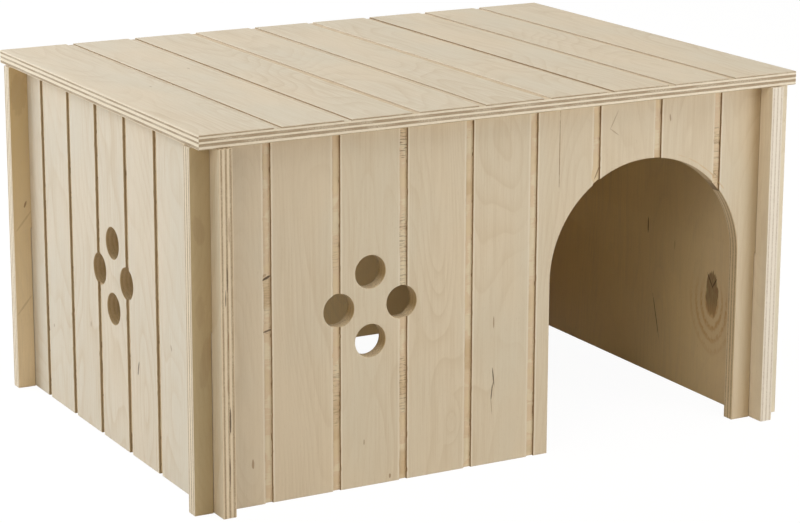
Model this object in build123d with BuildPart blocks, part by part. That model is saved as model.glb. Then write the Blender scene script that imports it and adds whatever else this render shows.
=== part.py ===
# A small animal's house of nine-millimetre plywood. Four routed wall panels slot into each
# other at the corners, and a loose roof lies on them, kept in place by two battens beneath it.
# Millimetres. +X runs along the front, +Y to the rear, +Z up. The origin is on the ground,
# under the middle of the house.

import os

from build123d import *

os.makedirs("parts", exist_ok=True)

# The sheet and the walls
sheet = 9.0  # thickness of the seven-ply birch sheet
wall_height = 229.0
front_length = 435.0  # front and rear walls, end to end
side_length = 330.0  # left and right walls, end to end
overrun = 13.0  # how far each wall runs on past the wall that it crosses
slot_play = 0.3  # total sideways play of a wall in the slot that holds it
arris = 0.5  # sanded edge of every panel

# The grooves that divide a panel into planks
plank_pitch = 47.0
groove_width = 5.4
groove_depth = 1.5
long_grooves = 8  # on the front, the rear and the roof
short_grooves = 6  # on the two side walls
front_pattern_shift = -2.5  # the front's grooves and vents lie left of its middle
side_pattern_shift = 1.5  # the left wall's lie forward of its middle

# The door, open at the ground
door_width = 147.0
door_spring_height = 115.0  # where the straight jambs end and the half round begins
door_centre = 107.5

# The vents: four round holes on the points of a diamond
vent_radius = 10.6
vent_spread = 22.0  # from the middle of the diamond to the middle of each hole
front_vent_planks_left = 2  # the front's diamond is centred on this plank, left of the middle one
front_vent_height = 116.5
side_vent_height = 114.0

# The roof and the battens beneath it
roof_length = 432.0
roof_depth = 325.0
batten_width = 15.0
batten_height = 12.0
batten_play = 1.0  # between a batten and each wall beside it
batten_lead = 2.0  # bevel that guides a batten between the walls

# Worked out from these
front_plane = side_length / 2 - overrun  # from the middle to the outer face of the front wall
side_plane = front_length / 2 - overrun  # from the middle to the outer face of a side wall
slot_width = sheet + slot_play
front_slot = side_plane - sheet / 2  # middle of the slot that takes a side wall
side_slot = front_plane - sheet / 2  # middle of the slot that takes the front or rear wall
front_vent_centre = front_pattern_shift - front_vent_planks_left * plank_pitch
inner_length = 2 * (side_plane - sheet)
inner_depth = 2 * (front_plane - sheet)
batten_length = inner_depth - 2 * batten_play
batten_centre = inner_length / 2 - batten_play - batten_width / 2

# Each panel is drawn on its outer face, seen from outside: first axis to the right, second up.
front_face = Plane(origin=(0, -front_plane, 0), x_dir=(1, 0, 0), z_dir=(0, -1, 0))
rear_face = Plane(origin=(0, front_plane, 0), x_dir=(-1, 0, 0), z_dir=(0, 1, 0))
left_face = Plane(origin=(-side_plane, 0, 0), x_dir=(0, -1, 0), z_dir=(-1, 0, 0))
right_face = Plane(origin=(side_plane, 0, 0), x_dir=(0, 1, 0), z_dir=(1, 0, 0))
roof_face = Plane.XY.offset(wall_height + sheet)


def wall_blank(face, length, slot, slot_foot):
    """A wall with its two corner slots, each half the wall's height and starting at slot_foot."""
    with BuildSketch(face) as outline:
        with Locations((0, wall_height / 2)):
            Rectangle(length, wall_height)
        with Locations((-slot, slot_foot + wall_height / 4), (slot, slot_foot + wall_height / 4)):
            Rectangle(slot_width, wall_height / 2, mode=Mode.SUBTRACT)
    extrude(outline.sketch, amount=-sheet)


def ease(panel):
    """Take the sharpness off every edge of a panel."""
    chamfer(panel.edges(), length=arris)


def cut_grooves(face, count, run, middle=(0, 0)):
    """Rout flat-bottomed grooves right across a panel's outer face, one plank apart."""
    with BuildSketch(face) as lines:
        with Locations(middle):
            with GridLocations(plank_pitch, run, count, 1):
                Rectangle(groove_width, run)
    extrude(lines.sketch, amount=-groove_depth, mode=Mode.SUBTRACT)


def cut_vents(face, centre, height):
    """Bore four holes through a wall, on the points of a diamond."""
    with BuildSketch(face) as holes:
        with Locations((centre, height)):
            with PolarLocations(vent_spread, 4):
                Circle(vent_radius)
    extrude(holes.sketch, amount=-sheet, mode=Mode.SUBTRACT)


def cut_door(face):
    """Saw the door: straight jambs under a half round."""
    with BuildSketch(face) as opening:
        with Locations((door_centre, door_spring_height / 2)):
            Rectangle(door_width, door_spring_height)
        with Locations((door_centre, door_spring_height)):
            Circle(door_width / 2)
    extrude(opening.sketch, amount=-sheet, mode=Mode.SUBTRACT)


# The front and rear walls have their slots at the foot and drop onto the side walls,
# whose slots are open at the top. All four stand on the ground.
slot_at_foot = 0
slot_at_top = wall_height / 2
half_height = wall_height / 2

with BuildPart() as front_wall:
    wall_blank(front_face, front_length, front_slot, slot_at_foot)
    cut_door(front_face)
    ease(front_wall)
    cut_grooves(front_face, long_grooves, wall_height, (front_pattern_shift, half_height))
    cut_vents(front_face, front_vent_centre, front_vent_height)

with BuildPart() as rear_wall:
    wall_blank(rear_face, front_length, front_slot, slot_at_foot)
    ease(rear_wall)
    cut_grooves(rear_face, long_grooves, wall_height, (0, half_height))

with BuildPart() as left_wall:
    wall_blank(left_face, side_length, side_slot, slot_at_top)
    ease(left_wall)
    cut_grooves(left_face, short_grooves, wall_height, (side_pattern_shift, half_height))
    cut_vents(left_face, side_pattern_shift, side_vent_height)

with BuildPart() as right_wall:
    wall_blank(right_face, side_length, side_slot, slot_at_top)
    ease(right_wall)
    cut_grooves(right_face, short_grooves, wall_height, (0, half_height))

with BuildPart() as roof:
    with BuildSketch(roof_face):
        Rectangle(roof_length, roof_depth)
    extrude(amount=-sheet)
    ease(roof)
    cut_grooves(roof_face, long_grooves, roof_depth)

# A batten is a square strip. The lower edges that meet the walls are bevelled.
with BuildPart() as roof_batten_left:
    with BuildSketch(Plane.XY.offset(wall_height)):
        with Locations((-batten_centre, 0)):
            Rectangle(batten_width, batten_length)
    extrude(amount=-batten_height)
    lower = roof_batten_left.faces().sort_by(Axis.Z)[0]
    inner_edge = lower.edges().sort_by(Axis.X)[-1]
    chamfer(lower.edges() - [inner_edge], length=batten_lead)

with BuildPart() as roof_batten_right:
    add(mirror(roof_batten_left.part, about=Plane.YZ, mode=Mode.PRIVATE))

pieces = {
    "front_wall": front_wall,
    "rear_wall": rear_wall,
    "left_wall": left_wall,
    "right_wall": right_wall,
    "roof": roof,
    "roof_batten_left": roof_batten_left,
    "roof_batten_right": roof_batten_right,
}

for name, piece in pieces.items():
    piece.part.label = name
    export_step(piece.part, f"parts/{name}.step")
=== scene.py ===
import math
import bpy
import numpy as np
from mathutils import Matrix, Vector


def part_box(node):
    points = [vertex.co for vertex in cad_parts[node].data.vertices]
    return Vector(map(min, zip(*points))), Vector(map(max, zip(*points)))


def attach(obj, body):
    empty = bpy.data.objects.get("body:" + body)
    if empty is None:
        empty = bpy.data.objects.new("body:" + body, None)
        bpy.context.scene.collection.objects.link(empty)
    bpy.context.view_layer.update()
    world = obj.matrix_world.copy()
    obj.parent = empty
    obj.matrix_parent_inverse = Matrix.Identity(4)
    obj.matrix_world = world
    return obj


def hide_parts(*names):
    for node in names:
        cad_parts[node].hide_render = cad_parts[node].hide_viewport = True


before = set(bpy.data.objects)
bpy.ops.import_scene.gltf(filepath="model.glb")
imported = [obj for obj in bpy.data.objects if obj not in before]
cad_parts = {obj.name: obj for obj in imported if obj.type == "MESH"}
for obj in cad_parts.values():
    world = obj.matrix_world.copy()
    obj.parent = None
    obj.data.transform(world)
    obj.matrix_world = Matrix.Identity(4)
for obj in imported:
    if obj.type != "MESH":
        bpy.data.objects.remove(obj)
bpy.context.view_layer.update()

scene = bpy.context.scene
mm = 0.001

# camera, in the frame's metres

camera = {
    "place": (-0.8406, -1.5242, 0.5540),
    "heading": -28.01,         # degrees from +Y, positive to the left
    "tilt": 13.99,             # degrees below the horizon
    "roll": -0.09,
    "focalPixels": 2626.0,     # focal length for an image 800 across
    "imageSize": (800, 523),
    "centre": (350.0, 230.0),  # where the lens axis meets the image
    "sensorWidth": 36.0,
    "nearest": 0.05,
    "farthest": 50.0,
}


# The lens is to the sensor's width as the focal length in pixels is to the image's width. The shift is the
# way from the lens axis to the image's middle, in image widths.
def placeCamera(c):
    data = bpy.data.cameras.new("camera")
    wide, high = c["imageSize"]
    data.sensor_width = c["sensorWidth"]
    data.lens = c["focalPixels"] * data.sensor_width / wide
    data.shift_x = (wide / 2 - c["centre"][0]) / wide
    data.shift_y = (c["centre"][1] - high / 2) / wide
    data.clip_start = c["nearest"]
    data.clip_end = c["farthest"]
    holder = bpy.data.objects.new("camera", data)
    scene.collection.objects.link(holder)
    turn = (Matrix.Rotation(math.radians(c["heading"]), 4, "Z")
            @ Matrix.Rotation(math.radians(90 - c["tilt"]), 4, "X")
            @ Matrix.Rotation(math.radians(c["roll"]), 4, "Z"))
    holder.matrix_world = Matrix.Translation(c["place"]) @ turn
    scene.camera = holder


placeCamera(camera)
print("camera placed")


# helpers: a mesh from points and faces, and a node's input set or linked

def meshObject(name, points, faces):
    mesh = bpy.data.meshes.new(name)
    mesh.from_pydata(points.tolist(), [], faces)
    mesh.update()
    made = bpy.data.objects.new(name, mesh)
    scene.collection.objects.link(made)
    return made


def linked(tree, node, slot, value):
    if isinstance(value, bpy.types.NodeSocket):
        tree.links.new(value, node.inputs[slot])
    elif value is not None:
        node.inputs[slot].default_value = value


def maths(tree, kind, a, b=None, c=None):
    node = tree.nodes.new("ShaderNodeMath")
    node.operation = kind
    for slot, value in enumerate((a, b, c)):
        linked(tree, node, slot, value)
    return node.outputs[0]


# floor, world and lamps

studio = {
    "floor": 12.0,
    "floorColour": (0.90, 0.88, 0.85, 1),
    "seenWhite": 0.92,    # share of plain white in what the camera sees of the floor
    "white": 1.04,
    "ambient": 0.15,
    "ambientColour": (1.0, 0.88, 0.70, 1),
    "aim": (0.0, 0.0, 0.12),
    "lamps": (            # name, place, size, watts, colour
        ("keyLeft", (-1.45, 1.45, 1.0), 1.6, 33.5, (0.89, 0.94, 1.0)),
        ("fillLeft", (-1.9, -1.3, 1.2), 1.0, 11.9, (1.0, 0.93, 0.80)),
        ("nearRight", (0.6, -0.95, 0.27), 0.5, 3.45, (0.92, 0.95, 1.0)),
        ("fillRight", (1.5, -0.3, 1.8), 1.0, 7.0, (1.0, 0.95, 0.82)),
        ("fillRear", (0.3, 2.2, 1.6), 1.0, 10.6, (0.90, 0.94, 1.0)),
        ("above", (0.1, -1.2, 2.6), 1.5, 20.5, (0.99, 0.965, 0.91)),
    ),
}


# 1 for rays from the camera, in a mirror or through glass: the greatest of the three
def seenDirectly(tree):
    path = tree.nodes.new("ShaderNodeLightPath")
    either = maths(tree, "MAXIMUM", path.outputs["Is Camera Ray"], path.outputs["Is Glossy Ray"])
    return maths(tree, "MAXIMUM", either, path.outputs["Is Transmission Ray"])


# a matt square that the camera sees mostly as plain white, with the shadow left in the rest
def layFloor(s):
    half = s["floor"] / 2
    corners = np.array([(-half, -half, 0), (half, -half, 0), (half, half, 0), (-half, half, 0)])
    floor = meshObject("floor", corners, [[0, 1, 2, 3]])
    look = bpy.data.materials.new("paleFloor")
    look.use_nodes = True
    tree = look.node_tree
    tree.nodes.clear()
    out = tree.nodes.new("ShaderNodeOutputMaterial")
    matt = tree.nodes.new("ShaderNodeBsdfDiffuse")
    matt.inputs["Color"].default_value = s["floorColour"]
    glow = tree.nodes.new("ShaderNodeEmission")
    glow.inputs["Strength"].default_value = s["white"]
    both = tree.nodes.new("ShaderNodeMixShader")
    linked(tree, both, "Fac", maths(tree, "MULTIPLY", seenDirectly(tree), s["seenWhite"]))
    linked(tree, both, 1, matt.outputs[0])
    linked(tree, both, 2, glow.outputs[0])
    linked(tree, out, "Surface", both.outputs[0])
    floor.data.materials.append(look)


# white where it is seen, and a weak warm light elsewhere
def paintWorld(s):
    world = bpy.data.worlds.new("studioWorld")
    world.use_nodes = True
    scene.world = world
    tree = world.node_tree
    tree.nodes.clear()
    out = tree.nodes.new("ShaderNodeOutputWorld")
    soft = tree.nodes.new("ShaderNodeBackground")
    soft.inputs["Color"].default_value = s["ambientColour"]
    soft.inputs["Strength"].default_value = s["ambient"]
    white = tree.nodes.new("ShaderNodeBackground")
    white.inputs["Color"].default_value = (1, 1, 1, 1)
    both = tree.nodes.new("ShaderNodeMixShader")
    linked(tree, both, "Fac", seenDirectly(tree))
    linked(tree, both, 1, soft.outputs[0])
    linked(tree, both, 2, white.outputs[0])
    linked(tree, out, "Surface", both.outputs[0])


# square lamps, each turned so that it looks from its place to the aim
def hangLamps(s):
    for name, place, size, watts, colour in s["lamps"]:
        data = bpy.data.lights.new(name, "AREA")
        data.shape = "SQUARE"
        data.size = size
        data.energy = watts
        data.color = colour
        lamp = bpy.data.objects.new(name, data)
        lamp.visible_camera = False
        scene.collection.objects.link(lamp)
        way = Vector(s["aim"]) - Vector(place)
        lamp.matrix_world = Matrix.Translation(place) @ way.to_track_quat("-Z", "Y").to_matrix().to_4x4()


layFloor(studio)
paintWorld(studio)
hangLamps(studio)
print("floor and lamps placed")

# the sheet that all five panels are cut from

plywood = {
    "plies": (1.0, 1.2, 1.8, 1.2, 1.8, 1.1, 0.9),  # mm, from the outer face in
    "arris": 0.55 * mm,      # rounding of every outer edge
    "relief": 0.07 * mm,     # how far end-grain plies lie back in a cut edge
    "nick": 0.8,             # depth of the nick at a glue line, as a share of the relief
    "nickWidth": 0.12 * mm,
    "rowStep": 0.9 * mm,
    "plankCells": 6,
    "edgeSteps": 18,         # across the thickness
    "roundSteps": 4,         # round each arris
    "cornerTuck": 0.8,       # how far a corner comes out, compared with the edges
    "creaseAngle": 24,       # degrees; sharper edges aren't shaded smooth
}
groove = {
    "pitch": 47.0 * mm,
    "width": 5.4 * mm,
    "depth": 1.5 * mm,       # unless a panel lists its own
    "wander": 0.04 * mm,     # unevenness of the two sides
    "slowStep": 22 * mm,     # how far apart the sides' bends are, slow and quick
    "quickStep": 2 * mm,
    "quickLeft": 0.5,        # share of the wander that the quick bends have
    "quickRight": 0.3,
    "fibre": 0.10 * mm,      # unevenness of the bottom
    "fibreStep": 6 * mm,
    "chips": 20,             # small break-outs along each side
    "chipLeft": 0.13 * mm,   # their usual size
    "chipRight": 0.06 * mm,
    "chipLength": (0.6 * mm, 2.6 * mm),
    "lip": 0.07,             # share of the depth at which a side begins, under its rounded rim
    "lipDrop": 0.4,          # how steeply a chip slopes down from the plank
}


# A panel's own axes: right and up as seen from outside, and outward. Its sizes come from the frame.
def panelSpace(node, right, up):
    low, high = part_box(node)
    corners = np.array([[x, y, z] for x in (low.x, high.x) for y in (low.y, high.y)
                        for z in (low.z, high.z)])
    axes = np.array([right, up, np.cross(right, up)], float)
    reach = corners @ axes.T
    lo, hi = reach.min(0), reach.max(0)
    return {"node": node, "axes": axes, "left": lo[0], "right": hi[0], "foot": lo[1], "top": hi[1],
            "face": hi[2], "thickness": hi[2] - lo[2]}


# points at u to the right, v up and depth below the outer face, as rows of x, y, z
def toWorld(space, u, v, depth):
    local = np.stack([u, v, space["face"] - depth], -1).reshape(-1, 3)
    return local @ space["axes"]


# a wandering line: random values every step, joined by smooth curves
def drift(rng, along, step, amount):
    knots = np.arange(along.min() - step, along.max() + 2 * step, step)
    values = rng.normal(0, 1, len(knots))
    t = (along - knots[0]) / step
    i = t.astype(int)
    f = t - i
    f = f * f * (3 - 2 * f)
    return amount * (values[i] * (1 - f) + values[i + 1] * f)


# one side of a groove: slow bends and quick ones, added
def sideLine(rng, v, quick):
    slow = drift(rng, v, groove["slowStep"], groove["wander"])
    return slow + drift(rng, v, groove["quickStep"], quick * groove["wander"])


# chips along a groove's side: the deepest of many round-topped bites, each short and shallow
def breakOuts(rng, v, count, size):
    centre = rng.uniform(v.min(), v.max(), count)
    half = rng.uniform(*groove["chipLength"], count)
    deep = rng.gamma(1.6, 0.5, count) * size
    bite = deep * np.sqrt(np.clip(1 - ((v[:, None] - centre) / half) ** 2, 0, 1))
    return bite.max(1)


# both sides' chips, with the panel's own tears in this groove added; a tear is a long ragged bite
def grooveChips(rng, v, tears):
    left = breakOuts(rng, v, groove["chips"], groove["chipLeft"])
    right = breakOuts(rng, v, groove["chips"], groove["chipRight"])
    for where, length, size in tears:
        bite = np.sqrt(np.clip(1 - ((v - where) / length) ** 2, 0, 1)) * rng.uniform(0.5, 1, len(v))
        left = np.maximum(left, abs(size) * bite if size < 0 else 0)
        right = np.maximum(right, abs(size) * bite if size > 0 else 0)
    return left, right


# A groove's section from left to right: offset from its middle, share of its depth, and how far the
# column follows the left (minus) or right (plus) side when that side wanders or chips.
def grooveSection(half):
    side = np.array([(1.60, 0.00, 0.0), (0.14, 0.00, 1.0), (0.00, groove["lip"], 1.0), (-0.06, 0.30, 1.0),
                     (-0.12, 0.92, 0.9), (-0.35, 1.00, 0.7)])
    left = np.stack([-half - side[:, 0] * mm, side[:, 1], -side[:, 2]], -1)
    floor = np.array([(-0.52, 1, -0.3), (-0.18, 1, 0.0), (0.18, 1, 0.0), (0.52, 1, 0.3)]) * (half, 1, 1)
    right = left[::-1] * (-1, 1, -1)
    return np.concatenate([left, floor, right]).T


# The outer face as a grid. Its columns bunch at each groove, where depth follows the section above;
# rows run up the panel. The sides wander, and the bottom has rough fibres lying across the groove.
def panelFace(space, cut, rng):
    a = plywood["arris"]
    across = plywood["plankCells"] + 1  # points across a plank
    rowStep = cut.get("rowStep", plywood["rowStep"])
    rows = int(round((space["top"] - space["foot"] - 2 * a) / rowStep)) + 1
    v = np.linspace(space["foot"] + a, space["top"] - a, rows)
    calm = np.clip(np.minimum(v - v[0], v[-1] - v) / mm - 0.5, 0, 1)  # even where a groove meets an edge
    offset, share, side = grooveSection(groove["width"] / 2)
    atLip, atBottom = np.isclose(share, groove["lip"]), share > 0.95
    middles = cut["middle"] + (np.arange(cut["grooves"]) - (cut["grooves"] - 1) / 2) * groove["pitch"]
    stops = [space["left"] + a]
    stops += [m + o for m in middles for o in (offset[0], offset[-1])]
    stops += [space["right"] - a]
    deep = cut.get("depths", (groove["depth"],) * cut["grooves"])
    columns, depths = [], []
    for k, middle in enumerate(middles):
        plank = np.linspace(stops[2 * k], stops[2 * k + 1], across)[(1 if k else 0):-1]
        columns.append(np.repeat(plank[None, :], rows, 0))
        depths.append(np.zeros((rows, len(plank))))
        chipLeft, chipRight = grooveChips(rng, v, cut.get("tears", {}).get(k, ()))
        leftLine = sideLine(rng, v, groove["quickLeft"]) - chipLeft
        rightLine = sideLine(rng, v, groove["quickRight"]) + chipRight
        shift = np.where(side < 0, leftLine[:, None] * -side, rightLine[:, None] * side) * calm[:, None]
        columns.append(middle + offset[None, :] + shift)
        fibres = rng.normal(0, 0.6, rows) + drift(rng, v, groove["fibreStep"], 0.6)
        rough = fibres[:, None] + rng.normal(0, 0.35, (rows, len(offset)))
        rough = rough * groove["fibre"] * calm[:, None]
        chip = np.where(side < 0, chipLeft[:, None], chipRight[:, None]) * calm[:, None]
        bottom = share[None, :] * deep[k] + np.where(atBottom, rough, 0)
        depths.append(bottom + np.where(atLip, groove["lipDrop"], 0)[None, :] * chip)
    plank = np.linspace(stops[-2], stops[-1], across)[1:]
    columns.append(np.repeat(plank[None, :], rows, 0))
    depths.append(np.zeros((rows, len(plank))))
    u = np.concatenate(columns, 1)
    return u, np.repeat(v[:, None], u.shape[1], 1), np.clip(np.concatenate(depths, 1), 0, None)


# How far a cut edge lies back at each depth: end-grain plies a little, and a fine nick at each glue line.
# endOn is 1 where the cross plies (2, 4, 6) show end grain and 0 where the long plies do.
def plyRelief(depth, endOn):
    lines = np.cumsum(plywood["plies"])[:-1] * mm
    isCross = np.searchsorted(lines, depth) % 2
    isEnd = isCross * endOn + (1 - isCross) * (1 - endOn)
    nick = np.exp(-(np.abs(depth[..., None] - lines) / plywood["nickWidth"]) ** 2).max(-1)
    return plywood["relief"] * (isEnd + plywood["nick"] * nick)


# A closed panel: the grooved face, a rounded edge carried round it, and a plain inner face. On the outer
# arris a point is out by a sin(angle) and in by a (1 - cos(angle)); the inner one is that turned over.
def slab(space, cut, rng):
    u, v, depth = panelFace(space, cut, rng)
    rows, cols = u.shape
    index = np.arange(rows * cols).reshape(rows, cols)
    # the face's border, anticlockwise from the lower left seen from outside
    ring = np.concatenate([index[0, :-1], index[:-1, -1], index[-1, :0:-1], index[:0:-1, 0]])
    bu, bv, bd = u.ravel()[ring], v.ravel()[ring], depth.ravel()[ring]
    a, thick, turns = plywood["arris"], space["thickness"], plywood["roundSteps"] + 1
    outU = np.where(np.isclose(bu, u.max()), 1.0, np.where(np.isclose(bu, u.min()), -1.0, 0.0))
    outV = np.where(np.isclose(bv, v.max()), 1.0, np.where(np.isclose(bv, v.min()), -1.0, 0.0))
    corner = np.where((np.abs(outU) + np.abs(outV)) > 1.5, plywood["cornerTuck"], 1.0)
    outU, outV = outU * corner, outV * corner
    endOn = (np.abs(outU) > 0.5).astype(float)
    rings = []
    for angle in np.linspace(0, math.pi / 2, turns)[1:]:
        rings.append((a * math.sin(angle), bd + a * (1 - math.cos(angle))))
    for t in np.linspace(0, 1, plywood["edgeSteps"] + 1)[1:-1]:
        d = bd + a + (thick - 2 * a - bd) * t
        rings.append((a - plyRelief(d, endOn) * min(1.0, 4 * t, 4 * (1 - t)), d))
    for angle in np.linspace(math.pi / 2, 0, turns):
        rings.append((a * math.sin(angle), np.full_like(bd, thick - a * (1 - math.cos(angle)))))
    points = [toWorld(space, u.ravel(), v.ravel(), depth.ravel())]
    points += [toWorld(space, bu + outU * out, bv + outV * out, d) for out, d in rings]
    quads = [np.stack([index[:-1, :-1], index[:-1, 1:], index[1:, 1:], index[1:, :-1]], -1).reshape(-1, 4)]
    before = ring
    for k in range(len(rings)):
        after = rows * cols + k * len(ring) + np.arange(len(ring))
        quads.append(np.stack([before, after, np.roll(after, -1), np.roll(before, -1)], -1))
        before = after
    faces = np.concatenate(quads).tolist() + [before[::-1].tolist()]
    return meshObject(space["node"] + "_panel", np.concatenate(points), faces)


# the tools that open a panel

tool = {
    "past": 2 * mm,          # how far a tool stands out of both faces
    "proud": 0.02 * mm,      # how far its rounding starts above a face
    "ventFlare": 0.30 * mm,  # rounding of each kind of rim
    "doorFlare": 0.40 * mm,
    "slotFlare": 0.45 * mm,
    "ventSides": 72,
    "archSides": 120,
    "jambSteps": 89,
    "doorDrop": 6 * mm,      # how far the door's tool goes below the foot
    "slotDrop": 5 * mm,      # how far a slot's tool goes past the edge that it opens
}


# A plug to cut with: a closed path carried through the sheet. Its wall follows the plies, and at both
# faces it opens outwards by flare, as a quarter round.
def cutter(space, name, pathU, pathV, outU, outV, flare):
    a, thick, proud = plywood["arris"], space["thickness"], tool["proud"]
    bend = np.linspace(0, math.pi / 2, plywood["roundSteps"] + 1)
    rounds = [((a + proud) * (1 - math.cos(b)) - proud, flare * (1 - math.sin(b))) for b in bend]
    steps = [(-tool["past"], flare)] + rounds
    for d in np.linspace(a, thick - a, plywood["edgeSteps"] + 1)[1:-1]:
        fadeIn = min(1.0, 3 * (d - a) / mm, 3 * (thick - a - d) / mm)
        steps.append((d, plyRelief(np.full(len(pathU), d), outU ** 2) * fadeIn))
    steps += [(thick - d, out) for d, out in rounds[::-1]] + [(thick + tool["past"], flare)]
    n = len(pathU)
    points = np.concatenate([toWorld(space, pathU + outU * out, pathV + outV * out, np.full(n, d))
                             for d, out in steps])
    ring = np.arange(n)
    quads = []
    for k in range(len(steps) - 1):
        near, far = k * n + ring, (k + 1) * n + ring
        quads.append(np.stack([near, far, np.roll(far, -1), np.roll(near, -1)], -1))
    ends = [ring.tolist(), ((len(steps) - 1) * n + ring)[::-1].tolist()]
    return meshObject(name, points, np.concatenate(quads).tolist() + ends)


# a circle
def ventCutter(space, name, centre, radius):
    angle = np.linspace(0, 2 * math.pi, tool["ventSides"] + 1)[:-1]
    c, s = np.cos(angle), np.sin(angle)
    return cutter(space, name, centre[0] + radius * c, centre[1] + radius * s, c, s, tool["ventFlare"])


# up the right jamb, round the half circle, down the left jamb, and closed below the foot
def doorCutter(space, name, door):
    r, x, spring = door["radius"], door["middle"], door["spring"]
    jamb = np.linspace(space["foot"] - tool["doorDrop"], spring, tool["jambSteps"] + 1)[:-1]
    angle = np.linspace(0, math.pi, tool["archSides"] + 1)
    none, one = np.zeros(len(jamb)), np.ones(len(jamb))
    u = np.concatenate([x + r * one, x + r * np.cos(angle), x - r * one])
    v = np.concatenate([jamb, spring + r * np.sin(angle), jamb[::-1]])
    outU = np.concatenate([one, np.cos(angle), -one])
    outV = np.concatenate([none, np.sin(angle), none])
    return cutter(space, name, u, v, outU, outV, tool["doorFlare"])


# a rectangle
def slotCutter(space, name, middle, width, low, high):
    right, up = np.array([1, 1, -1, -1]), np.array([-1, 1, 1, -1])
    v = np.array([low, high, high, low])
    return cutter(space, name, middle + width / 2 * right, v, right, up, tool["slotFlare"])


# takes the tools out of the panel, and marks its real corners sharp
def carve(panel, tools):
    for plug in tools:
        step = panel.modifiers.new("cut", "BOOLEAN")
        step.operation = "DIFFERENCE"
        step.solver = "MANIFOLD"
        step.object = plug
    graph = bpy.context.evaluated_depsgraph_get()
    done = bpy.data.meshes.new_from_object(panel.evaluated_get(graph), depsgraph=graph)
    panel.modifiers.clear()
    old, panel.data = panel.data, done
    bpy.data.meshes.remove(old)
    done.name = panel.name
    for plug in tools:
        bpy.data.objects.remove(plug)
    done.materials.clear()
    done.polygons.foreach_set("use_smooth", np.ones(len(done.polygons), bool))
    done.set_sharp_from_angle(angle=math.radians(plywood["creaseAngle"]))


# material building blocks: each adds a node or a few, and gives back an output

def times(tree, first, *others):
    product = first
    for other in others:
        product = maths(tree, "MULTIPLY", product, other)
    return product


def plus(tree, a, b):
    return maths(tree, "ADD", a, b)


def minus(tree, a, b):
    return maths(tree, "SUBTRACT", a, b)


def mapped(tree, vector, scale=(1, 1, 1), place=(0, 0, 0), turn=(0, 0, 0), kind="POINT"):
    node = tree.nodes.new("ShaderNodeMapping")
    node.vector_type = kind
    linked(tree, node, "Vector", vector)
    node.inputs["Scale"].default_value = scale
    node.inputs["Rotation"].default_value = turn
    if kind == "POINT":
        node.inputs["Location"].default_value = place
    return node.outputs[0]


def noise(tree, vector, scale=(1, 1, 1), place=(0, 0, 0), detail=2.0, rough=0.5):
    node = tree.nodes.new("ShaderNodeTexNoise")
    linked(tree, node, "Vector", mapped(tree, vector, scale, place))
    node.inputs["Scale"].default_value = 1.0
    node.inputs["Detail"].default_value = detail
    node.inputs["Roughness"].default_value = rough
    return node.outputs["Fac"]


# from low at start to high at end, eased at both; start may be the greater
def fade(tree, value, start, end, low=0.0, high=1.0):
    node = tree.nodes.new("ShaderNodeMapRange")
    node.interpolation_type = "SMOOTHSTEP"
    linked(tree, node, "Value", value)
    node.inputs["From Min"].default_value = start
    node.inputs["From Max"].default_value = end
    node.inputs["To Min"].default_value = low
    node.inputs["To Max"].default_value = high
    return node.outputs["Result"]


def blend(tree, factor, a, b, kind="MIX"):
    node = tree.nodes.new("ShaderNodeMix")
    node.data_type = "RGBA"
    node.blend_type = kind
    linked(tree, node, "Factor", factor)
    for name, value in (("A", a), ("B", b)):
        socket = next(s for s in node.inputs if s.name == name and s.type == "RGBA")
        if isinstance(value, bpy.types.NodeSocket):
            tree.links.new(value, socket)
        else:
            socket.default_value = tuple(value) + (1,) * (4 - len(value))
    return next(s for s in node.outputs if s.type == "RGBA")


# distance from a place, in units of the given reach along each axis after a turn about the third
def distance(tree, vector, place, reach, turn=0.0):
    node = tree.nodes.new("ShaderNodeMapping")
    node.vector_type = "TEXTURE"
    linked(tree, node, "Vector", vector)
    node.inputs["Location"].default_value = place
    node.inputs["Rotation"].default_value = (0, 0, math.radians(turn))
    node.inputs["Scale"].default_value = reach
    length = tree.nodes.new("ShaderNodeVectorMath")
    length.operation = "LENGTH"
    linked(tree, length, 0, node.outputs[0])
    return length.outputs["Value"]


def apart(tree, vector):
    node = tree.nodes.new("ShaderNodeSeparateXYZ")
    linked(tree, node, 0, vector)
    return node.outputs


# one value for each groove, held across the plank's pitch about it
def perGroove(tree, u, first, values):
    node = tree.nodes.new("ShaderNodeValToRGB")
    node.color_ramp.interpolation = "CONSTANT"
    pitch = groove["pitch"] / mm
    span = pitch * len(values)
    linked(tree, node, 0, maths(tree, "MULTIPLY_ADD", u, 1 / span, (pitch / 2 - first) / span))
    stops = node.color_ramp.elements
    stops.remove(stops[1])
    for k, value in enumerate(values):
        stop = stops.new(k / len(values)) if k else stops[0]
        stop.color = (value, value, value, 1)
    return node.outputs["Color"]


# 0 in the long plies and 1 in the cross plies, by depth, with a change of twice soft between them
def plies(tree, depth, thicknesses, soft):
    node = tree.nodes.new("ShaderNodeValToRGB")
    total = sum(thicknesses)
    linked(tree, node, 0, maths(tree, "DIVIDE", depth, total))
    stops = node.color_ramp.elements
    stops.remove(stops[1])
    stops[0].position, stops[0].color = 0.0, (0, 0, 0, 1)
    at, level = 0.0, 0
    for thickness in thicknesses[:-1]:
        at += thickness
        for way in (-1, 1):
            stop = stops.new((at + way * soft) / total)
            shade = level if way < 0 else 1 - level
            stop.color = (shade, shade, shade, 1)
        level = 1 - level
    return node.outputs["Color"]


# the plywood's finish

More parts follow.
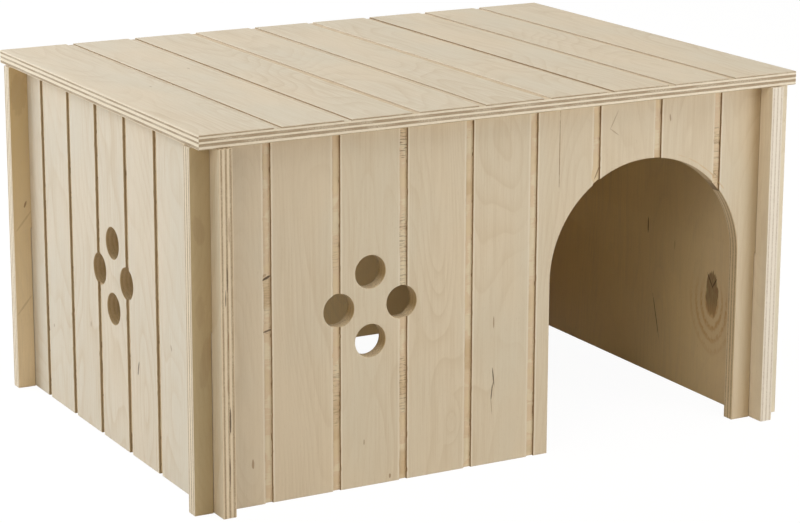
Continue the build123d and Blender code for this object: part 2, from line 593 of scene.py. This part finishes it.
wood = {
    "veneer": (0.735, 0.640, 0.500),
    "veneerCool": (0.708, 0.630, 0.498),
    "veneerWarm": (0.745, 0.634, 0.480),
    "innerVeneer": (0.89, 0.69, 0.37),
    "innerDoor": (0.78, 0.615, 0.375),
    "innerSeen": (0.84, 0.735, 0.55),
    "figure": (0.58, 0.46, 0.31),
    "pore": (0.50, 0.38, 0.24),
    # painted highlight: the paler line beside each groove
    "rim": (0.86, 0.78, 0.65),
    "edgeLight": (0.88, 0.78, 0.62),
    "edgeDark": (0.50, 0.40, 0.28),
    "edgePit": (0.34, 0.25, 0.16),
    "crossTan": (0.77, 0.61, 0.385),
    "crossPink": (0.76, 0.585, 0.39),
    "crossPale": (0.81, 0.69, 0.48),
    "crossStain": (0.62, 0.44, 0.24),
    "comb": (0.20, 0.12, 0.06),
    # groove sides, upper and lower: darker cross ply with painted shade
    "sideUpper": (0.36, 0.26, 0.15),
    "sideLower": (0.21, 0.13, 0.06),
    "knot": (0.34, 0.265, 0.125),
    "knotRing": (0.56, 0.335, 0.15),
    "crack": (0.10, 0.065, 0.035),
    "stain": (0.30, 0.19, 0.10),
}
pattern = {                # cycles a millimetre across, up and through; detail; roughness
    "wave": ((0.05, 0.05, 0.05), 1.0, 0.5),         # of the plies in the sheet
    "hills": ((0.011, 0.0034, 0.01), 2.0, 0.42),    # whose contours are the veneer's figure
    "ruffle": ((0.05, 0.012, 0.01), 1.0, 0.5),
    "patchy": ((0.03, 0.008, 0.01), 2.0, 0.5),
    "fibre": ((0.9, 0.022, 0.01), 4.0, 0.7),
    "pores": ((3.2, 0.30, 0.01), 2.0, 0.6),
    "cast": ((0.016, 0.009, 0.01), 2.0, 0.5),
    "torn": ((0.16, 0.9, 0.3), 3.0, 0.6),           # the next four in the grooves' bottoms
    "patches": ((0.05, 0.055, 0.02), 2.0, 0.55),
    "stains": ((0.03, 0.035, 0.02), 1.0, 0.5),
    "combs": ((0.10, 1.0, 0.3), 3.0, 0.7),
    "streak": ((0.35, 0.35, 2.5), 2.0, 0.5),        # the next three in cut edges
    "pit": ((1.1, 1.1, 1.8), 2.0, 0.7),
    "cloud": ((0.06, 0.06, 0.4), 2.0, 0.5),
    "ragged": ((0.6, 0.25, 0.5), 3.0, 0.6),         # outlines of marks and knots
    "spiky": ((0.9, 0.12, 0.5), 3.0, 0.6),
}
finish = {
    "waviness": 0.24,      # mm that the plies rise and fall
    "plyBlur": 0.06,       # mm
    "faceEnds": 4.5,       # mm deep; anything deeper has the inner face's veneer
    "innerShift": 300.0,   # how far off in the noise the inner face is read
    "ringCount": 30.0,
    "ruffling": 0.9,
    "rings": 0.56,         # strengths of the figure outside and inside, of the fibres and of the pores
    "ringsInside": 0.24,
    "fibres": (0.16, 0.42),
    "fibresInside": 0.5,
    "pores": 0.26,
    # strength of the painted highlight beside each groove
    "rim": 0.45,
    "rimReach": (4.4, 3.4),    # mm from a groove's middle between which each tone sets in
    "sideReach": (3.8, 3.4),
    "combReach": (3.6, 1.45),  # mm across a groove, and into it
    "bore": 0.8,
    "boreReach": (36, 36, 99),
    "knotRings": 11.5,         # radians of ring for each reach of the heart
    "specular": 0.25,
    "roughness": (0.55, 0.70),
    "bumpStrength": 0.5,
    "bumpDistance": 0.00006,
}


def patterned(tree, vector, name, offset):
    scale, detail, rough = pattern[name]
    return noise(tree, vector, scale, offset, detail, rough)


# Where a point of the panel is, in millimetres: u to the right, v up, h outward from the outer face. Depth
# picks the ply. Long plies have their grain along v and cross plies along u, so a surface that faces along
# its ply's grain is end grain: alongU x cross + alongV x (1 - cross).
def surfaceFacts(tree, space, cut):
    source = tree.nodes.new("ShaderNodeTexCoord")
    turn = Matrix(space["axes"].tolist()).to_euler("XYZ")
    place = mapped(tree, source.outputs["Object"], (1 / mm,) * 3, (0, 0, -space["face"] / mm), turn)
    facing = apart(tree, mapped(tree, source.outputs["Normal"], turn=turn, kind="VECTOR"))
    u, v, h = apart(tree, place)
    alongU, alongV, outward = (times(tree, s, s) for s in facing)
    offset = tuple(7.3 * cut["seed"] + 13.1 * k for k in range(3))
    wave = times(tree, patterned(tree, place, "wave", offset), finish["waviness"])
    depth = minus(tree, wave, plus(tree, h, finish["waviness"] / 2))
    cross = plies(tree, depth, cut.get("plies", plywood["plies"]), finish["plyBlur"])
    acrossGrain = plus(tree, times(tree, alongU, cross), times(tree, alongV, minus(tree, 1.0, cross)))
    return {"place": place, "u": u, "v": v, "side": maths(tree, "ABSOLUTE", u), "depth": depth,
            "cross": cross, "endGrain": fade(tree, acrossGrain, 0.15, 0.75), "alongU": alongU,
            "upward": facing[1], "onFace": fade(tree, outward, 0.3, 0.8),
            "inner": maths(tree, "GREATER_THAN", depth, finish["faceEnds"]), "offset": offset}


# Rotary-cut veneer: contour lines of a tall soft noise, fine upright fibres and short pores. A contour is
# the cube of the height's fraction, cut off at its end. Inside, the veneer is yellower than on the ends
# that stick out past the corners.
def faceLook(tree, cut, at):
    inner, offset = at["inner"], at["offset"]
    shifted = tree.nodes.new("ShaderNodeCombineXYZ")
    linked(tree, shifted, 0, at["u"])
    linked(tree, shifted, 1, at["v"])
    linked(tree, shifted, 2, times(tree, inner, finish["innerShift"]))
    sheet = shifted.outputs[0]
    hills = patterned(tree, sheet, "hills", offset)
    for x, y, wide, tall, high in cut.get("swells", ()):
        away = distance(tree, at["place"], (x, y, 0), (wide, tall, 6))
        hills = maths(tree, "MULTIPLY_ADD", fade(tree, away, 1.0, 0.0), high, hills)
    ruffle = times(tree, patterned(tree, sheet, "ruffle", offset), finish["ruffling"])
    phase = maths(tree, "FRACT", plus(tree, times(tree, hills, finish["ringCount"]), ruffle))
    patchy = patterned(tree, sheet, "patchy", offset[::-1])
    ringLine = times(tree, maths(tree, "POWER", phase, 3.0), fade(tree, phase, 1.0, 0.9),
                     fade(tree, patchy, 0.3, 0.7, 0.15, 1.0))
    fibre = patterned(tree, sheet, "fibre", offset)
    pores = fade(tree, patterned(tree, sheet, "pores", offset), 0.60, 0.72)

    cast = patterned(tree, sheet, "cast", offset)
    face = blend(tree, fade(tree, cast, 0.35, 0.65), wood["veneerCool"], wood["veneerWarm"])
    face = blend(tree, fade(tree, patchy, 0.3, 0.75, 0.0, 0.6), face, wood["veneer"])
    # painted light: a panel's tint makes the one plywood lighter, darker, cooler or warmer as light falls
    # on that panel
    if "paintedLightTint" in cut:
        face = blend(tree, 1.0, face, cut["paintedLightTint"], "MULTIPLY")
    within = blend(tree, fade(tree, at["side"], 50.0, 140.0), wood["innerVeneer"], wood["innerDoor"])
    corner = cut["inside"] / mm
    past = fade(tree, at["side"], corner - 1, corner + 2)
    # where a panel lists two tones here, its ends run from foot to top: painted light, paler low down
    foot, top = cut.get("innerSeen", (wood["innerSeen"], wood["innerSeen"]))
    seen = blend(tree, fade(tree, at["v"], 10.0, 225.0), foot, top)
    face = blend(tree, inner, face, blend(tree, past, within, seen))

    rings = maths(tree, "MULTIPLY_ADD", inner, finish["ringsInside"] - finish["rings"], finish["rings"])
    face = blend(tree, times(tree, ringLine, rings), face, wood["figure"])
    grain = times(tree, fade(tree, patchy, 0.35, 0.65, *finish["fibres"]),
                  maths(tree, "MULTIPLY_ADD", inner, finish["fibresInside"] - 1, 1.0),
                  fade(tree, fibre, 0.38, 0.68))
    face = blend(tree, grain, face, wood["figure"])
    face = blend(tree, times(tree, pores, finish["pores"]), face, wood["pore"])
    return {"colour": face, "fibre": fibre, "pores": pores, "patchy": patchy}


# the cross ply at the bottom of a groove: torn fibres across it, in patches up the groove
def bottomLook(tree, cut, at, face):
    place, offset = at["place"], at["offset"]
    torn = patterned(tree, place, "torn", offset)
    patches = patterned(tree, place, "patches", offset[::-1])
    stains = patterned(tree, place, "stains", offset)
    pale = plus(tree, patches, times(tree, torn, 0.25))
    combed = times(tree, fade(tree, torn, 0.42, 0.22), fade(tree, stains, 0.35, 0.6, 0.15, 0.7))
    bottom = blend(tree, fade(tree, patches, 0.40, 0.50), wood["crossTan"], wood["crossPink"])
    bottom = blend(tree, fade(tree, pale, 0.64, 0.70), bottom, wood["crossPale"])
    bottom = blend(tree, fade(tree, stains, 0.58, 0.66, 0.0, 0.7), bottom, wood["crossStain"])
    bottom = blend(tree, combed, bottom, wood["crossStain"])
    return blend(tree, cut.get("plainBottom", 0.2), bottom, face)


# cut edges: pale long-grain plies with fine streaks, and dark pitted end-grain plies. Bores carry painted
# light: cream where the wall faces up and shaded brown where it faces sideways or down, the plies hardly
# told apart.
def edgeLook(tree, cut, at, pit):
    place, offset = at["place"], at["offset"]
    edgeLight, edgeDark = cut.get("edge", (wood["edgeLight"], wood["edgeDark"]))
    if "endEdge" in cut:
        corner = cut["inside"] / mm
        atEnd = fade(tree, at["side"], corner, corner + 10)
        edgeLight = blend(tree, atEnd, edgeLight, cut["endEdge"][0])
        edgeDark = blend(tree, atEnd, edgeDark, cut["endEdge"][1])
    streak = patterned(tree, place, "streak", offset)
    cloud = patterned(tree, place, "cloud", offset)
    light = blend(tree, fade(tree, streak, 0.35, 0.8, 0.0, 0.25), edgeLight, edgeDark)
    dark = blend(tree, fade(tree, cloud, 0.4, 0.7, 0.0, 0.35), edgeDark, edgeLight)
    dark = blend(tree, fade(tree, pit, 0.47, 0.62, 0.0, cut.get("pits", 0.75)), dark, wood["edgePit"])
    edge = blend(tree, at["endGrain"], light, dark)
    if "vents" in cut:
        x, y = cut["vents"]
        away = distance(tree, place, (x / mm, y / mm, -finish["faceEnds"]), finish["boreReach"])
        # painted light and shade by facing: bore walls that face up are lit cream, the rest shaded brown
        bore = blend(tree, fade(tree, at["upward"], 0.9, 0.25), cut["boreLitBelow"], cut["boreShadeAndStreak"])
        bore = blend(tree, fade(tree, streak, 0.35, 0.75, 0.0, 0.5), bore, cut["boreShadeAndStreak"])
        bore = blend(tree, fade(tree, pit, 0.45, 0.62, 0.0, 0.5), bore, wood["edgePit"])
        edge = blend(tree, times(tree, fade(tree, away, 1.0, 0.95), finish["bore"]), edge, bore)
    return edge


# painted light and shade: bands of the outer or inner face multiplied by another tone, below 1 for painted
# shade and above 1 for painted light
def paintLightAndShade(tree, cut, at, colour):
    innerFace = times(tree, at["onFace"], at["inner"])
    outerFace = minus(tree, at["onFace"], innerFace)
    for part, paintedLightAndShade in ((outerFace, cut.get("paintedLightAndShade", ())), (innerFace, cut.get("innerPaintedLightAndShade", ()))):
        for start, end, tone in paintedLightAndShade:
            band = times(tree, part, fade(tree, at["u"], start, end))
            colour = blend(tree, band, colour, tone, "MULTIPLY")
    return colour


# A groove's sides are darker than the face, most of all below the face ply: partly the darker cross ply
# and partly painted shade. A painted highlight, a paler line, runs beside it. fromMiddle is the distance
# to the nearest groove's middle, beyond how far outside the grooves u lies.
def grooveTones(tree, space, cut, at, colour):
    u, depth, onFace, place = at["u"], at["depth"], at["onFace"], at["place"]
    pitch = groove["pitch"] / mm
    first, last = space["firstGroove"] / mm, space["lastGroove"] / mm
    inPitch = maths(tree, "FLOORED_MODULO", minus(tree, u, first - pitch / 2), pitch)
    fromMiddle = maths(tree, "ABSOLUTE", minus(tree, inPitch, pitch / 2))
    beyond = minus(tree, maths(tree, "ABSOLUTE", minus(tree, u, (first + last) / 2)), (last - first) / 2)
    inGroove = times(tree, fade(tree, fromMiddle, *finish["sideReach"]), fade(tree, beyond, 4.5, 4.0))
    # painted highlight: a paler line on the face beside each groove
    rim = times(tree, fade(tree, fromMiddle, *finish["rimReach"]), fade(tree, beyond, 5.0, 4.5), onFace,
                fade(tree, depth, 0.35, 0.15), finish["rim"])
    colour = blend(tree, rim, colour, wood["rim"])
    # painted shade with the darker cross ply on the groove's sides
    wall = times(tree, inGroove, fade(tree, at["alongU"], 0.3, 0.7),
                 perGroove(tree, u, first, cut.get("sideTones", (1.0,) * cut["grooves"])))
    upper, lower = cut.get("sides", (wood["sideUpper"], wood["sideLower"]))
    colour = blend(tree, wall, colour, blend(tree, fade(tree, depth, 0.3, 0.9), upper, lower))
    if "stainedBottoms" in cut:
        low = times(tree, inGroove, onFace, fade(tree, depth, 0.3, 0.6),
                    perGroove(tree, u, first, cut["stainedBottoms"]))
        colour = blend(tree, low, colour, wood["crossStain"])
    lines = fade(tree, patterned(tree, place, "combs", at["offset"]), 0.50, 0.40)
    across, inward = finish["combReach"]
    for k, low, high, strength in cut.get("combs", ()):
        middle = (first + pitch * k, (low + high) / 2, -groove["depth"] / mm)
        away = distance(tree, place, middle, (across, (high - low) / 2, inward))
        comb = times(tree, lines, fade(tree, away, 1.0, 0.8, 0.0, strength))
        colour = blend(tree, comb, colour, wood["comb"])
    return colour


# A knot: a ragged dark heart, browner low down, and below it rings that are the sine of the distance from
# it, fading out as they widen.
def knotLook(tree, cut, at, patchy, ragged, colour):
    middle, reach = cut["knot"]
    x, y, out = middle
    spiky = patterned(tree, at["place"], "spiky", at["offset"])
    away = plus(tree, distance(tree, at["place"], middle, reach), times(tree, spiky, 0.8))
    ring = distance(tree, at["place"], (x, y - 4, out), (reach[0] * 1.55, reach[1], reach[2]))
    ring = plus(tree, plus(tree, ring, times(tree, ragged, 0.4)), times(tree, patchy, 0.8))
    rings = times(tree, fade(tree, maths(tree, "SINE", times(tree, ring, finish["knotRings"])), -0.6, 1.2),
                  fade(tree, ring, 3.6, 1.9, 0.0, 0.9),
                  fade(tree, ragged, 0.35, 0.6, 0.35, 1.0),
                  fade(tree, at["v"], y + 14, y - 12, 0.05, 1.0))
    colour = blend(tree, rings, colour, wood["knotRing"])
    heart = blend(tree, fade(tree, spiky, 0.45, 0.6), wood["stain"], wood["knot"])
    heart = blend(tree, fade(tree, at["v"], y - 2, y - 14, 0.0, 0.45), heart, wood["knotRing"])
    return blend(tree, fade(tree, away, 1.45, 1.3), colour, heart)


# Plywood: veneer on the faces, torn cross ply in the grooves and plies in the cut edges, then the bands of
# painted light and shade, the grooves' tones, the knot and the marks over them, and a fine relief of
# fibres, pores and pits.
def plywoodLook(name, space, cut):
    look = bpy.data.materials.new(name)
    look.use_nodes = True
    tree = look.node_tree
    tree.nodes.clear()
    out = tree.nodes.new("ShaderNodeOutputMaterial")
    shader = tree.nodes.new("ShaderNodeBsdfPrincipled")
    linked(tree, out, "Surface", shader.outputs[0])
    shader.inputs["Specular IOR Level"].default_value = finish["specular"]

    at = surfaceFacts(tree, space, cut)
    onFace, place, offset = at["onFace"], at["place"], at["offset"]
    face = faceLook(tree, cut, at)
    pit = patterned(tree, place, "pit", offset)
    bottom = bottomLook(tree, cut, at, face["colour"])
    flat = blend(tree, times(tree, at["cross"], onFace), face["colour"], bottom)
    colour = blend(tree, onFace, edgeLook(tree, cut, at, pit), flat)
    colour = paintLightAndShade(tree, cut, at, colour)
    colour = grooveTones(tree, space, cut, at, colour)
    ragged = patterned(tree, place, "ragged", offset)
    if "knot" in cut:
        colour = knotLook(tree, cut, at, face["patchy"], ragged, colour)
    for middle, reach, tilt, strength, tone in cut.get("marks", ()):
        away = plus(tree, distance(tree, place, middle, reach, tilt), ragged)
        colour = blend(tree, fade(tree, away, 1.65, 1.3, 0.0, strength), colour, wood[tone])
    linked(tree, shader, "Base Color", colour)
    linked(tree, shader, "Roughness", fade(tree, face["fibre"], 0.2, 0.8, *finish["roughness"]))

    facePart = plus(tree, times(tree, face["fibre"], 0.6), times(tree, face["pores"], -0.5))
    edgePart = times(tree, minus(tree, 1.0, onFace), times(tree, pit, -2.0))
    bump = tree.nodes.new("ShaderNodeBump")
    bump.inputs["Strength"].default_value = finish["bumpStrength"]
    bump.inputs["Distance"].default_value = finish["bumpDistance"]
    linked(tree, bump, "Height", plus(tree, times(tree, onFace, facePart), edgePart))
    linked(tree, shader, "Normal", bump.outputs[0])
    return look


# the five panels

slotWidth = 9.6 * mm
halfHeight = 114.5 * mm
halfSheet = 4.5 * mm
sideCentre = 200.0 * mm    # middles of the side walls, and of the front and rear walls
frontCentre = 147.5 * mm
vent = {"radius": 10.6 * mm, "spread": 22.0 * mm}

# In each, lengths are in millimetres unless multiplied by mm. Painted light and shade are bands from and
# to, across, with the tone that multiplies the face: painted shade below 1, painted light above. Combs are
# a groove, from and to height, and a strength. Marks are a place across, up and out, the reach along each,
# a tilt in degrees, a strength and a tone.
frontWall = {
    "node": "front_wall", "body": "walls", "right": (1, 0, 0), "up": (0, 0, 1), "seed": 11,
    # painted shade: the front a little darker and warmer
    "paintedLightTint": (0.95, 0.94, 0.913),
    "edge": ((0.75, 0.61, 0.41), (0.55, 0.42, 0.26)),
    "endEdge": ((0.80, 0.71, 0.56), (0.50, 0.40, 0.28)),
    "paintedLightAndShade": (
        # painted shade on the strip left of the left wall's end, which that end shades
        (-203, -205, (0.76, 0.695, 0.535)),
        # painted shade, darker towards the left end
        (-100, -180, (0.93, 0.93, 0.94)),
        # painted shade in the corner by the right wall's end, in two steps
        (166, 186, (0.95, 0.92, 0.87)),
        (182, 194, (0.91, 0.86, 0.78)),
        # painted light on the strip right of the right wall's end, lifting it past the two corner steps
        (203.5, 205.5, (1.33, 1.52, 1.84)),
    ),
    # bore walls: painted light below, painted shade above
    "boreLitBelow": (0.93, 0.80, 0.59), "boreShadeAndStreak": (0.47, 0.325, 0.145),
    "inside": sideCentre - halfSheet,
    "grooves": 8, "middle": -2.5 * mm,
    "slots": (-sideCentre, sideCentre), "slotsAtFoot": True,
    "vents": (-96.5 * mm, 116.5 * mm),
    "door": {"middle": 107.5 * mm, "radius": 73.5 * mm, "spring": 115.0 * mm},
    # groove, then height, half length and size of each tear, minus on its left side
    "tears": {
        0: ((142 * mm, 4 * mm, -0.8 * mm), (111 * mm, 3 * mm, -0.6 * mm)),
        2: ((205 * mm, 18 * mm, -0.5 * mm), (160 * mm, 14 * mm, -0.4 * mm)),
        5: ((182 * mm, 4 * mm, -1.2 * mm),),
        7: ((170 * mm, 3 * mm, -0.7 * mm),),
    },
    "combs": (
        (0, 108, 116, 0.8), (0, 118, 146, 0.25), (1, 140, 164, 0.2), (2, 206, 228, 0.8),
        (2, 120, 176, 0.5), (2, 40, 84, 0.5), (1, 40, 84, 0.4), (7, 162, 209, 0.4),
    ),
    "marks": (
        ((-167, 143.3, -1.5), (3.1, 0.85, 1.3), 24, 0.95, "crack"),   # tears in the first groove
        ((-168.4, 145, -1.5), (1.6, 0.9, 1.3), 10, 0.5, "stain"),
        ((-167, 110, -1.5), (2.6, 0.6, 1.3), 14, 0.8, "crack"),
        ((39.8, 200, 0), (0.35, 26, 3), 0, 0.8, "stain"),             # seam left of the door
        ((69, 182.5, 0), (0.5, 5, 3), -24, 0.8, "stain"),
        ((80.7, 216.5, 0), (0.4, 7, 3), -27, 0.45, "stain"),          # corner of a veneer patch
        ((81, 208.7, 0), (0.4, 4, 3), 54, 0.45, "stain"),
        ((124, 214, 0), (0.6, 2.4, 3), 10, 0.6, "stain"),
        ((-7.5, 94, 0), (0.5, 4, 3), 0, 0.7, "stain"),
        ((-7.4, 58, 0), (0.4, 6, 3), 6, 0.95, "crack"),               # long crack
        ((-8.4, 48, 0), (0.35, 6.5, 3), -6, 0.95, "crack"),
        ((-8.6, 39, 0), (0.3, 6, 3), 5, 0.6, "stain"),
        ((-178, 27, 0), (0.8, 3, 3), 0, 0.7, "stain"),                # specks
        ((-82.5, 4, 0), (0.7, 1.5, 3), 0, 0.8, "stain"),
        ((-101, 29, 0), (0.5, 2, 3), 0, 0.6, "stain"),
        ((-28.5, 176, 0), (0.5, 2, 3), 0, 0.5, "stain"),
        ((165.6, 165, 0), (0.45, 4, 3), 41, 0.6, "crossStain"),       # torn fringe of the arch
        ((159, 172, 0), (0.5, 5, 3), 47, 0.7, "crossStain"),
        ((151.5, 178, 0), (0.45, 5, 3), 55, 0.6, "crossStain"),
        ((143.5, 183.2, 0), (0.4, 5, 3), 62, 0.5, "crossStain"),
        ((161.5, 172.5, 0), (0.4, 4, 3), 44, 0.5, "stain"),
        ((134, 187.4, 0), (0.35, 4, 3), 70, 0.4, "crossStain"),
        ((-212, 178, 0), (4, 9, 3), 12, 0.22, "stain"),               # clouds on the left end
        ((-209, 96, 0), (3.5, 16, 3), -8, 0.2, "stain"),
        ((-212, 128, 0), (3, 10, 3), 0, 0.14, "stain"),
    ),
    # soft hills that bend the figure: across, up, half width, half height, strength
    "swells": (
        (-97, 120, 22, 110, 0.12), (-94, -20, 22, 100, 0.14), (-48, 215, 18, 130, 0.14),
        (-37, 32, 10, 20, 0.06), (2, 120, 22, 110, 0.05), (-176, 60, 62, 320, 0.42),
        (60, 150, 50, 260, 0.16), (140, 190, 40, 200, 0.14),
    ),
}
rearWall = {
    "node": "rear_wall", "body": "walls", "right": (-1, 0, 0), "up": (0, 0, 1), "seed": 12,
    # painted light: the inner face's end paler at the foot, where light bounces from the floor, and darker
    # at the top
    "innerSeen": ((0.77, 0.615, 0.40), (0.58, 0.435, 0.23)),  # at the foot and at the top
    "inside": sideCentre - halfSheet,
    "grooves": 8, "middle": 0.0,
    "slots": (-sideCentre, sideCentre), "slotsAtFoot": True,
    "marks": (
        ((208.5, 132, -9), (0.7, 2.4, 3), 20, 0.9, "stain"),
        ((210, 120, -9), (0.7, 9, 3), 40, 0.3, "stain"),
        ((211, 60, -9), (0.7, 9, 3), 40, 0.3, "stain"),
        ((211, 210, -9), (6, 14, 3), 0, 0.2, "stain"),
    ),
}
leftWall = {
    "node": "left_wall", "body": "walls", "right": (0, -1, 0), "up": (0, 0, 1), "seed": 13,
    # painted light: the left wall cooler, as under the cool lamp
    "paintedLightTint": (0.98, 1.02, 1.09),
    "edge": ((0.76, 0.64, 0.47), (0.46, 0.35, 0.225)),
    "plies": (1.0, 1.2, 1.8, 1.3, 1.6, 1.5, 0.6),
    # painted shade on the wall's end past the front wall, where the front wall's end shades it
    "paintedLightAndShade": ((151, 153, (0.99, 0.955, 0.88)),),
    # its own groove-side tones: darker cross ply with painted shade
    "sides": ((0.42, 0.33, 0.20), (0.26, 0.19, 0.105)),
    # bore walls: painted light below, painted shade above
    "boreLitBelow": (0.68, 0.53, 0.31), "boreShadeAndStreak": (0.50, 0.35, 0.17),
    "inside": frontCentre - halfSheet,
    "grooves": 6, "middle": 1.5 * mm, "depths": (1.75 * mm,) * 6, "sideTones": (0.85,) * 6,
    "slots": (-frontCentre, frontCentre), "slotsAtFoot": False,
    "vents": (1.5 * mm, 114.0 * mm),
    "marks": (
        ((-105, 54, 0), (0.7, 1.4, 3), 0, 0.6, "stain"),
        ((-38, 72, 0), (0.7, 2.0, 3), 0, 0.6, "stain"),
        ((40, 62, 0), (0.8, 5.0, 3), -14, 0.8, "crack"),
        ((92, 89, 0), (0.6, 2.2, 3), 20, 0.7, "stain"),
        ((165, 62, -5.5), (3, 9, 0.5), 0, 0.9, "crack"),     # open places in the front end's plies
        ((165, 150, -4.6), (3, 8, 0.35), 0, 0.9, "crack"),
        ((165, 138, -3.4), (3, 5, 0.3), 0, 0.9, "crack"),
        ((165, 112, -4.8), (3, 6, 0.4), 0, 0.7, "stain"),
        ((165, 84, -4.2), (3, 5, 0.35), 0, 0.7, "stain"),
        ((165, 180, -6.2), (3, 8, 0.5), 0, 0.5, "stain"),
        ((165, 30, -5.0), (3, 10, 0.35), 0, 0.8, "crack"),
    ),
}
rightWall = {
    "node": "right_wall", "body": "walls", "right": (0, 1, 0), "up": (0, 0, 1), "seed": 14,
    "edge": ((0.84, 0.775, 0.665), (0.69, 0.60, 0.49)), "pits": 0.4,
    "inside": frontCentre - halfSheet,
    "grooves": 6, "middle": 0.0,
    "slots": (-frontCentre, frontCentre), "slotsAtFoot": False,
    # painted light and shade on the inner face: bands lighter and darker with how light falls through the
    # door
    "innerPaintedLightAndShade": (
        (20, 140, (1.22, 1.22, 1.28)),
        (10, -50, (0.86, 0.86, 0.88)),
        (-85, -135, (1.12, 1.12, 1.14)),
    ),
    "knot": ((-105.5, 75, -9), (7.0, 16, 3)),                # its place, and the reach of its heart
    "marks": (
        ((-103, 84, -9), (0.6, 6, 3), -35, 0.9, "crack"),    # in the knot
        ((-108, 83, -9), (0.6, 5, 3), 35, 0.9, "crack"),
        ((-27, 107, -9), (0.6, 6, 3), 0, 0.9, "crack"),
        ((-39.2, 43, -9), (0.5, 17, 3), -16, 0.7, "crack"),
        ((-60, 100, -9), (0.5, 4, 3), 0, 0.4, "stain"),
    ),
}
roof = {
    "node": "roof", "body": "roof", "right": (1, 0, 0), "up": (0, 1, 0), "seed": 15,
    # painted light: the roof a little paler
    "paintedLightTint": (1.02, 1.03, 1.04),
    "edge": ((0.86, 0.77, 0.62), (0.42, 0.32, 0.21)),
    "plies": (1.0, 1.2, 1.8, 1.2, 1.8, 1.45, 0.55),
    "inside": sideCentre + 30 * mm,                          # past the roof's ends, so nowhere
    "grooves": 8, "middle": 0.0, "rowStep": 1.1 * mm,
    "depths": tuple(d * mm for d in (0.82, 0.9, 0.85, 0.85, 0.75, 1.0, 0.95, 0.95)),
    # how strongly each groove's sides take their painted shade
    "sideTones": (1.0, 1.0, 0.6, 0.8, 0.45, 1.0, 0.7, 0.7),
    "stainedBottoms": (0.08, 0.1, 0.4, 0.2, 0.4, 0.1, 0.2, 0.2),
    "plainBottom": 0.75,
    "marks": (
        ((-131, 37, 0), (0.7, 2.0, 3), 0, 0.5, "stain"),
        ((-179, -10, 0), (0.6, 1.5, 3), 0, 0.5, "stain"),
    ),
}


# cuts a panel's slots, vents and door, gives it its finish, and puts it in its node's place
def makePanel(cut):
    space = panelSpace(cut["node"], cut["right"], cut["up"])
    reach = (cut["grooves"] - 1) / 2 * groove["pitch"]
    space["firstGroove"], space["lastGroove"] = cut["middle"] - reach, cut["middle"] + reach
    panel = slab(space, cut, np.random.default_rng(cut["seed"]))
    tools = []
    for k, middle in enumerate(cut.get("slots", ())):
        if cut["slotsAtFoot"]:
            low, high = space["foot"] - tool["slotDrop"], halfHeight
        else:
            low, high = halfHeight, space["top"] + tool["slotDrop"]
        tools.append(slotCutter(space, f"slot{k}", middle, slotWidth, low, high))
    if "vents" in cut:
        x, z = cut["vents"]
        for k, (du, dv) in enumerate(((0, 1), (1, 0), (0, -1), (-1, 0))):
            place = (x + du * vent["spread"], z + dv * vent["spread"])
            tools.append(ventCutter(space, f"vent{k}", place, vent["radius"]))
    if "door" in cut:
        tools.append(doorCutter(space, "doorway", cut["door"]))
    carve(panel, tools)
    panel.data.materials.append(plywoodLook(cut["node"] + "_plywood", space, cut))
    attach(panel, cut["body"])
    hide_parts(cut["node"])
    print(panel.name, len(panel.data.polygons), "faces")


for cut in (frontWall, rearWall, leftWall, rightWall, roof):
    makePanel(cut)
print("panels made")

# the two battens stay as the frame's own solids

batten = {
    "pale": (0.74, 0.60, 0.42),
    "band": (0.62, 0.46, 0.28),
    "grain": (0.5, 0.02, 0.5),   # cycles a millimetre across, along and up
    "fine": (2.5, 0.1, 2.5),
    "offset": (3, 5, 7),
    "specular": 0.3,
}


# planed softwood: long bands of two tones along the strip, and finer lines over them
def battenLook(name, b):
    look = bpy.data.materials.new(name)
    look.use_nodes = True
    tree = look.node_tree
    shader = tree.nodes["Principled BSDF"]
    source = tree.nodes.new("ShaderNodeTexCoord")
    place = mapped(tree, source.outputs["Object"], (1 / mm,) * 3)
    grain = noise(tree, place, b["grain"], b["offset"], 3.0, 0.6)
    fine = noise(tree, place, b["fine"], b["offset"])
    colour = blend(tree, fade(tree, grain, 0.35, 0.65), b["pale"], b["band"])
    colour = blend(tree, fade(tree, fine, 0.55, 0.8, 0.0, 0.4), colour, b["band"])
    linked(tree, shader, "Base Color", colour)
    linked(tree, shader, "Roughness", fade(tree, fine, 0.2, 0.8, 0.5, 0.65))
    shader.inputs["Specular IOR Level"].default_value = b["specular"]
    return look


battenWood = battenLook("batten_wood", batten)
for node in ("roof_batten_left", "roof_batten_right"):
    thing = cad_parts[node]
    thing.data.materials.clear()
    thing.data.materials.append(battenWood)
print("battens finished")

scene.view_settings.view_transform = "Standard"
